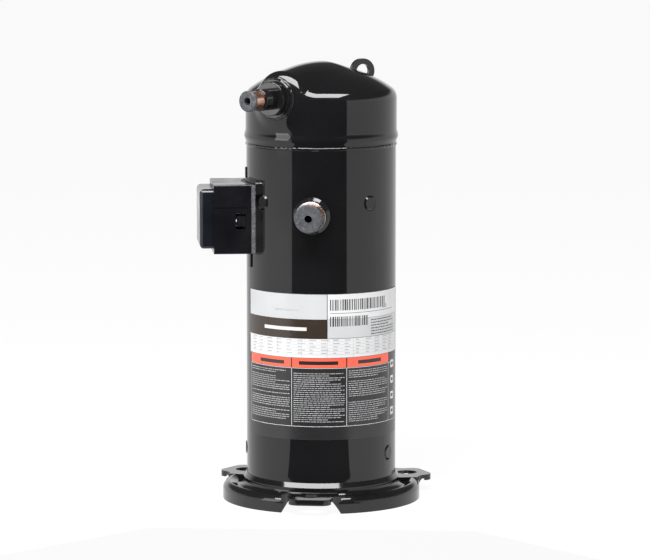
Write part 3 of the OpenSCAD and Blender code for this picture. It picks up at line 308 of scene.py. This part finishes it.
def makeSeamWeld():
    verts, cols, rows = [], seamWeld["cols"], seamWeld["rows"]
    for i in range(rows):
        t = math.radians(-95 + 190 * i / (rows - 1))
        r = seamWeld["r"] + seamWeld["size"] * (math.cos(t) - seamWeld["sink"])
        z = seamWeld["z"] + seamWeld["tall"] * seamWeld["size"] * math.sin(t)
        for j in range(cols):
            a = 360.0 * j / cols
            k = math.radians(a)
            w = (0.00008 * math.sin(70 * k) + 0.00012 * math.sin(9 * k + 1)
                 + 0.0001 * math.sin(23 * k))
            verts.append(around(a, r + w, z + seamWeld["rise"] * w))
    addMesh("seam_weld", verts, gridFaces(rows, cols), [enamel])


makeSeamWeld()
print("seam weld made")


def makeInk(name, dark, light, rough=(0.3, 0.4), grain=20, paintedGlow=None):
    return surface("ink " + name, dark, light, rough, grain=grain, bump=0, paintedGlow=paintedGlow)


# the label's print: plain blocks and bars, each a thin patch on the film
ink = {
    "grey": makeInk("dark grey", (0.022, 0.022, 0.023), (0.028, 0.028, 0.03), (0.24, 0.32)),
    "brown": makeInk("brown", (0.040, 0.028, 0.020), (0.050, 0.036, 0.027), (0.22, 0.3)),
    # the red ink is real print, and it also carries a faint painted glow (emission) that lifts it
    # beyond what the lamps give
    "red": makeInk("red", (0.92, 0.115, 0.06), (1.0, 0.14, 0.078),
                   paintedGlow=((1.0, 0.13, 0.07), 0.12)),
    "white": makeInk("white", (0.74, 0.74, 0.75), (0.84, 0.84, 0.85)),
    "pale": makeInk("pale grey", (0.55, 0.56, 0.57), (0.66, 0.67, 0.68)),
    "mid": makeInk("mid grey", (0.40, 0.40, 0.41), (0.56, 0.56, 0.57), grain=60),
    "line": makeInk("line", (0.02, 0.02, 0.02), (0.03, 0.03, 0.03), grain=60),
}
inkNames = list(ink)
# the shell's radius, the film on it, and how far each layer of print stands off, in metres
label = {"shellR": 0.06985, "film": 0.00035, "lift": 0.00003, "layer": 0.00001,
         "start": -164.5, "end": -16.0, "margin": 0.4}
# where the print lies: bearings in degrees, heights in millimetres
layout = {
    "ground": (52.4, 187.6), "left": (-164, -90.6), "right": (-90.2, -16.5),
    "top": (164.3, 187.4), "middle": (146.6, 164.1), "data": (128.6, 146.2),
    "warning": (-161.8, -32.5), "warningHigh": (119.4, 128.2), "warningBars": (122.0, 125.4),
    "stripesFrom": -88.3, "columnsHigh": (67, 117.5),
    "columns": ((-160.5, -119.5), (-116.2, -77), (-73.8, -34)),
}
patches = []


def patch(colour, b0, b1, z0, z1, layer):
    patches.append((colour, b0, b1, z0 / 1000, z1 / 1000, layer))


def stripes(stop, z0, z1):
    b = layout["stripesFrom"]
    while b < stop:
        w = rng.choice([0.5, 0.8, 1.2])
        patch("line", b, b + w, z0, z1, 3)
        b += w + rng.choice([0.5, 0.7, 1.0])


def textRows(b0, b1, z0, z1, pitch=2.0, colour="mid", thick=0.62, gap=0.12):
    z = z1 - pitch
    while z > z0:
        if rng.random() > gap:
            b = b0
            stop = b1 - (b1 - b0) * rng.choice([0, 0, 0, 0.08, 0.3])
            while b < stop - 0.8:
                w = rng.uniform(1.0, 4.2)
                patch(colour, b, min(b + w, stop), z, z + thick, 3)
                b += w + 0.55
        z -= pitch


def makeLabel():
    ends = (label["start"] + label["margin"], label["end"] - label["margin"])
    patch("grey", *ends, *layout["ground"], 1)
    patch("pale", *layout["left"], *layout["top"], 2)
    patch("white", *layout["right"], *layout["top"], 2)
    patch("brown", *layout["left"], *layout["middle"], 2)
    patch("pale", *layout["right"], *layout["middle"], 2)
    patch("white", layout["left"][0], layout["right"][1], *layout["data"], 2)
    patch("red", *layout["warning"], *layout["warningHigh"], 2)
    for b in (-117.8, -75.4):
        patch("line", b - 0.5, b + 0.5, *layout["warningHigh"], 3)
    for b0, b1 in ((-148, -124), (-112, -82), (-66, -43)):
        patch("line", b0, b1, *layout["warningBars"], 3)
    patch("white", -143, -106, 153.6, 156.8, 3)
    patch("mid", -132, -112, 171.6, 173.4, 3)
    # the data grid
    for z in (131.5, 134.5, 137.5, 140.5, 143.5):
        patch("mid", -160, -20, z, z + 0.25, 3)
        for b in range(-158, -24, 9):
            patch("mid", b, b + rng.uniform(2.5, 6.0), z + 0.9, z + 1.9, 3)
    for b in (-150, -130, -110, -90.4, -70, -50, -32):
        patch("mid", b - 0.12, b + 0.12, 128.9, 146, 3)
    # striped blocks on the upper right panel
    stripes(-39.5, 172.4, 182.6)
    stripes(-57.5, 157.6, 166.8)
    textRows(-54, -24, 148, 164, 2.6, "line", 0.9, 0.1)
    patch("line", layout["stripesFrom"], -26, 169.6, 170.0, 3)
    patch("mid", -41, -36, 171.5, 175.5, 4)
    # three columns of small print
    for b0, b1 in layout["columns"]:
        textRows(b0, b1, *layout["columnsHigh"], 1.95)
    # four small marks beside the columns
    for z in (113.5, 98.8, 83.9, 69.2):
        patch("white", -28.6, -22.6, z, z + 7.2, 3)
        patch("line", -27.4, -23.8, z + 2.2, z + 5.0, 4)
    # thin frame round the print
    for z in (64.4, 118.6):
        patch("white", -162.4, -20.5, z, z + 0.4, 3)
    for b in (-162.4, -117.8, -75.4, -32.5, -20.5):
        patch("pale", b - 0.22, b + 0.22, 64.4, 119, 3)
    patch("grey", -90.4 - 0.25, -90.4 + 0.25, 146.4, 187.6, 3)
    verts, faces, kinds = [], [], []
    for colour, b0, b1, z0, z1, layer in patches:
        steps = max(1, int(abs(b1 - b0) / 1.0) + 1)
        r = label["shellR"] + label["film"] + label["lift"] + label["layer"] * layer
        base = len(verts)
        for i in range(steps + 1):
            a = b0 + (b1 - b0) * i / steps
            verts += [around(a, r, z0), around(a, r, z1)]
        for i in range(steps):
            k = base + 2 * i
            faces.append((k, k + 2, k + 3, k + 1))
            kinds.append(inkNames.index(colour))
    addMesh("label_print", verts, faces, [ink[n] for n in inkNames],
            kinds=kinds)


makeLabel()
print("label made")


# small edges rounded by a bevel: its width on each node, in metres
edge = {"segments": 2, "angle": 35}
edgeWidths = {
    "terminal_box": 0.0006, "terminal_lid": 0.0003, "lifting_lug": 0.0008,
    "suction_collar": 0.0004, "suction_stub": 0.0002, "discharge_stub": 0.0002,
    "discharge_collar": 0.0005, "terminal_fence": 0.0002,
}


def soften(name, width):
    target = frame["nodes"][name]
    mod = target.modifiers.new("edge", "BEVEL")
    mod.width = width
    mod.segments = edge["segments"]
    mod.limit_method = "ANGLE"
    mod.angle_limit = math.radians(edge["angle"])
    mod.harden_normals = False


# the weld round the discharge collar, where it meets the cap's boss
bossBead = {"bearing": -130, "z": 0.367, "r": 0.0185, "size": 0.0016, "at": 0.0722}


def makeBead(name, spec, material, ripple):
    verts, cols, rows = [], 120, 12
    for i in range(rows):
        a = 2 * math.pi * i / rows
        for j in range(cols):
            t = 2 * math.pi * j / cols
            w = 1 + ripple * (math.sin(11 * t) + 0.7 * math.sin(17 * t + 2) + 0.5 * math.sin(5 * t))
            r = spec["r"] + spec["size"] * w * math.cos(a)
            verts.append((r * math.cos(t), r * math.sin(t),
                          spec["at"] + spec["size"] * w * math.sin(a)))
    last = (rows - 1) * cols
    faces = gridFaces(rows, cols) + [
        (last + j, last + (j + 1) % cols, (j + 1) % cols, j) for j in range(cols)]
    place = (Matrix.Translation((0, 0, spec["z"]))
             @ Matrix.Rotation(math.radians(spec["bearing"]), 4, "Z")
             @ Matrix.Rotation(math.radians(90), 4, "Y"))
    addMesh(name, [place @ Vector(v) for v in verts], faces, [material])


makeBead("boss_weld", bossBead, enamel, 0.12)
brazeRings = [
    {"name": "suction_braze", "bearing": -102, "z": 0.2598, "r": 0.0133, "size": 0.0008,
     "at": 0.0799, "finish": turnedSteel, "slot": "turned_steel"},
    {"name": "discharge_braze", "bearing": -130, "z": 0.367, "r": 0.0093, "size": 0.0009,
     "at": 0.0991, "finish": footEnamel, "slot": "foot_paint"},
    {"name": "discharge_ring", "bearing": -130, "z": 0.367, "r": 0.0150, "size": 0.0008,
     "at": 0.0812, "finish": enamel, "slot": "foot_paint"},
]
for spec in brazeRings:
    makeBead(spec["name"], spec, spec["finish"], 0.06)
print("beads made")

for name, width in edgeWidths.items():
    soften(name, width)

# pale floor, soft light, and a dark cloth and card in front that the lens doesn't see
stage = {"floorZ": -0.0130, "size": 14.0, "bearing": -95, "left": -45, "right": 39,
         "near": 0.22, "far": 9, "cardHigh": 4, "clothLift": 0.001, "dark": (0.004, 0.004, 0.004)}


def plain(name, colour, paintedGlow, diffuse):
    made = bpy.data.materials.new(name)
    made.use_nodes = True
    shader = made.node_tree.nodes["Principled BSDF"]
    shader.inputs["Base Color"].default_value = (*diffuse, 1)
    shader.inputs["Roughness"].default_value = 1
    shader.inputs["Specular IOR Level"].default_value = 0
    shader.inputs["Emission Color"].default_value = (*colour, 1)
    shader.inputs["Emission Strength"].default_value = paintedGlow
    return made


def stageMesh(name, verts, faces, material):
    made = addMesh(name, verts, faces, [material], body=None, smooth=False)
    return made


def makeStage():
    s, z = stage["size"], stage["floorZ"]
    stageMesh("floor", [(-s, -s, z), (s, -s, z), (s, s, z), (-s, s, z)], [(0, 1, 2, 3)],
              plain("floor", (1, 1, 1), 0.93, (0.14, 0.14, 0.14)))
    left, right = stage["bearing"] + stage["left"], stage["bearing"] + stage["right"]
    near, far, up = stage["near"], stage["far"], z + stage["clothLift"]
    cloth = [around(b, r, up) for b, r in ((left, near), (right, near), (right, far), (left, far))]
    card = [around(b, far, h) for b, h in
            ((left, z), (right, z), (right, stage["cardHigh"]), (left, stage["cardHigh"]))]
    for name, finish, points in (("dark_cloth", "cloth", cloth), ("dark_card", "card", card)):
        made = stageMesh(name, points, [(0, 1, 2, 3)], plain(finish, (0, 0, 0), 0, stage["dark"]))
        made.visible_camera = False
        made.visible_diffuse = False


makeStage()


# the sky's tones from the ground up, by height
sky = {"strength": 1.02, "tones": [(0.0, (1, 1, 1)), (0.2, (1, 1, 1)), (0.34, (0.10, 0.10, 0.10)),
                                   (1.0, (0.04, 0.04, 0.04))]}


def makeWorld():
    world = bpy.data.worlds.new("sky")
    bpy.context.scene.world = world
    world.use_nodes = True
    tree = world.node_tree
    tree.nodes.clear()
    out = node(tree, "ShaderNodeOutputWorld")
    back = node(tree, "ShaderNodeBackground")
    where = node(tree, "ShaderNodeTexCoord")
    split = node(tree, "ShaderNodeSeparateXYZ")
    tree.links.new(where.outputs["Generated"], split.inputs["Vector"])
    colour = ramp(tree, sky["tones"], split.outputs["Z"])
    tree.links.new(colour, back.inputs["Color"])
    back.inputs["Strength"].default_value = sky["strength"]
    tree.links.new(back.outputs["Background"], out.inputs["Surface"])


makeWorld()

lights = [
    {"name": "overhead", "at": (-0.35, -1.25, 1.75), "aim": (0, 0, 0.33), "size": (1.7, 0.55),
     "power": 40, "gloss": False},
    {"name": "left", "at": (-2.0, -0.9, 0.8), "aim": (0, 0, 0.2), "size": (0.9, 1.4),
     "power": 12, "gloss": True},
    {"name": "sheen", "at": (-0.62, -0.97, 2.0), "aim": (-0.62, -0.97, 0), "size": (2.9, 1.4),
     "power": 190, "gloss": True, "soft": False},
]
for spec in lights:
    data = bpy.data.lights.new(spec["name"], "AREA")
    data.shape = "RECTANGLE"
    data.size, data.size_y = spec["size"]
    data.energy = spec["power"]
    lamp = bpy.data.objects.new(spec["name"], data)
    bpy.context.scene.collection.objects.link(lamp)
    lamp.location = spec["at"]
    away = Vector(spec["at"]) - Vector(spec["aim"])
    lamp.rotation_mode = "QUATERNION"
    lamp.rotation_quaternion = away.to_track_quat("Z", "Y")
    lamp.visible_camera = False
    lamp.visible_glossy = spec["gloss"]
    lamp.visible_diffuse = spec.get("soft", True)

eye = {"azimuth": -5.0, "elevation": 7.3, "far": 3.463, "lens": 204.9, "sensor": 36,
       "aside": 0.00356, "height": 0.192, "clip": (0.05, 60)}


def makeCamera():
    data = bpy.data.cameras.new("camera")
    data.sensor_width = eye["sensor"]
    data.lens = eye["lens"]
    data.clip_start, data.clip_end = eye["clip"]
    data.dof.use_dof = False
    camera = bpy.data.objects.new("camera", data)
    bpy.context.scene.collection.objects.link(camera)
    bpy.context.scene.camera = camera
    a, e = math.radians(eye["azimuth"]), math.radians(eye["elevation"])
    back = Vector((math.sin(a) * math.cos(e), -math.cos(a) * math.cos(e), math.sin(e)))
    aim = Vector((eye["aside"] * math.cos(a), eye["aside"] * math.sin(a), eye["height"]))
    camera.rotation_mode = "QUATERNION"
    camera.rotation_quaternion = (-back).to_track_quat("-Z", "Y")
    camera.location = aim + back * eye["far"]


makeCamera()
bpy.context.scene.view_settings.view_transform = "Standard"
print("stage made")
